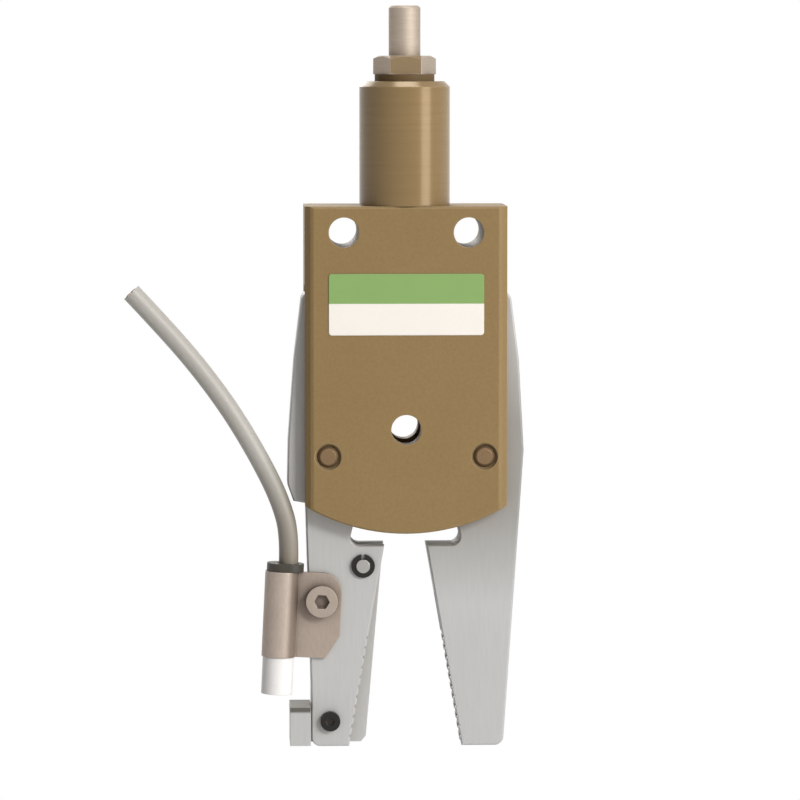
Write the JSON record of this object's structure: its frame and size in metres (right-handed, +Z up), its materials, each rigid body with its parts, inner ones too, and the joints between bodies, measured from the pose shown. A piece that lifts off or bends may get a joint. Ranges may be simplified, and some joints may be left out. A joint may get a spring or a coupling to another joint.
{
  "type": "pneumatic sprue gripper",
  "caption": "Slotted block gripper with a round clamp shank: an air piston drives a wedge that shuts toothed jaws on a moulded sprue, and a lever in one jaw trips a cabled sensor.",
  "frame": {"origin": "on the axis of the clamp shank, level with the top face of the body", "axes": "+Z up the shank towards the air stem, +X towards the plain jaw, -Y towards the labelled front"},
  "size_m": [0.0881, 0.0202, 0.1639],
  "materials": {
    "bronze_anodised": "satin bronze anodised",
    "jaw_metal": "matt silver",
    "steel": "ground",
    "spring_steel": "drawn wire",
    "nickel": "nickel plated",
    "clamp_metal": "satin plated",
    "bronze_bush": "sintered",
    "black_oxide": "black oxide",
    "seal_rubber": "matt",
    "sensor_white": "moulded",
    "sensor_black": "moulded",
    "cable_grey": "satin sheath",
    "sticker": "printed film"
  },
  "bodies": {
    "body": {"body_block": "bronze_anodised", "label": "sticker", "clamp_shank": "bronze_anodised", "air_fitting": "nickel", "port_seal": "seal_rubber", "rod_bush": "bronze_bush", "return_spring": "spring_steel", "left_pivot_pin": "steel", "right_pivot_pin": "steel", "jaw_spring": "spring_steel"},
    "drive": {"piston": "jaw_metal", "piston_seal": "seal_rubber", "piston_rod": "steel", "drive_wedge": "steel", "wedge_pin": "steel"},
    "left_jaw": {"left_jaw": "jaw_metal", "left_pivot_bush": "bronze_bush", "left_roller_pin": "steel", "lever_pin": "steel", "lever_clips": "black_oxide", "lever_spring": "spring_steel", "stop_screw": "black_oxide", "sensor_clamp": "clamp_metal", "clamp_screw": "clamp_metal", "sensor_barrel": "nickel", "sensor_tip": "sensor_white", "sensor_cap": "sensor_black", "sensor_cable": "cable_grey"},
    "right_jaw": {"right_jaw": "jaw_metal", "right_pivot_bush": "bronze_bush", "right_roller_pin": "steel"},
    "left_roller": {"left_roller": "steel"},
    "right_roller": {"right_roller": "steel"},
    "sensing_lever": {"sensing_lever": "jaw_metal"}
  },
  "joints": [
    {"name": "piston_slide", "type": "slide", "parent": "body", "child": "drive", "axis": [0, 0, -1], "range_m": [0, 0.006], "stiffness_N_per_m": 1500, "springref_m": -0.006, "deforming": ["return_spring", "jaw_spring"]},
    {"name": "left_jaw_pivot", "type": "hinge", "parent": "body", "child": "left_jaw", "pos_m": [-0.0172, 0, -0.055], "axis": [0, 1, 0], "range_deg": [-10.5, 0]},
    {"name": "right_jaw_pivot", "type": "hinge", "parent": "body", "child": "right_jaw", "pos_m": [0.0172, 0, -0.055], "axis": [0, 1, 0], "range_deg": [0, 10.5]},
    {"name": "left_roller_spin", "type": "hinge", "parent": "left_jaw", "child": "left_roller", "pos_m": [-0.0075, 0, -0.0325], "axis": [0, 1, 0], "range_deg": [0, 133.5]},
    {"name": "right_roller_spin", "type": "hinge", "parent": "right_jaw", "child": "right_roller", "pos_m": [0.0075, 0, -0.0325], "axis": [0, 1, 0], "range_deg": [-133.5, 0]},
    {"name": "sensing_lever_pivot", "type": "hinge", "parent": "left_jaw", "child": "sensing_lever", "pos_m": [-0.0094, 0, -0.0797], "axis": [0, 1, 0], "range_deg": [0, 4.5], "stiffness_Nm_per_rad": 0.08, "springref_deg": -14.32, "deforming": ["lever_spring"]}
  ],
  "couplings": [
    {"joint": "left_jaw_pivot", "follows": "piston_slide", "rad_per_m": -30.54},
    {"joint": "right_jaw_pivot", "follows": "piston_slide", "rad_per_m": 30.54},
    {"joint": "left_roller_spin", "follows": "piston_slide", "rad_per_m": 386},
    {"joint": "right_roller_spin", "follows": "piston_slide", "rad_per_m": -386}
  ]
}
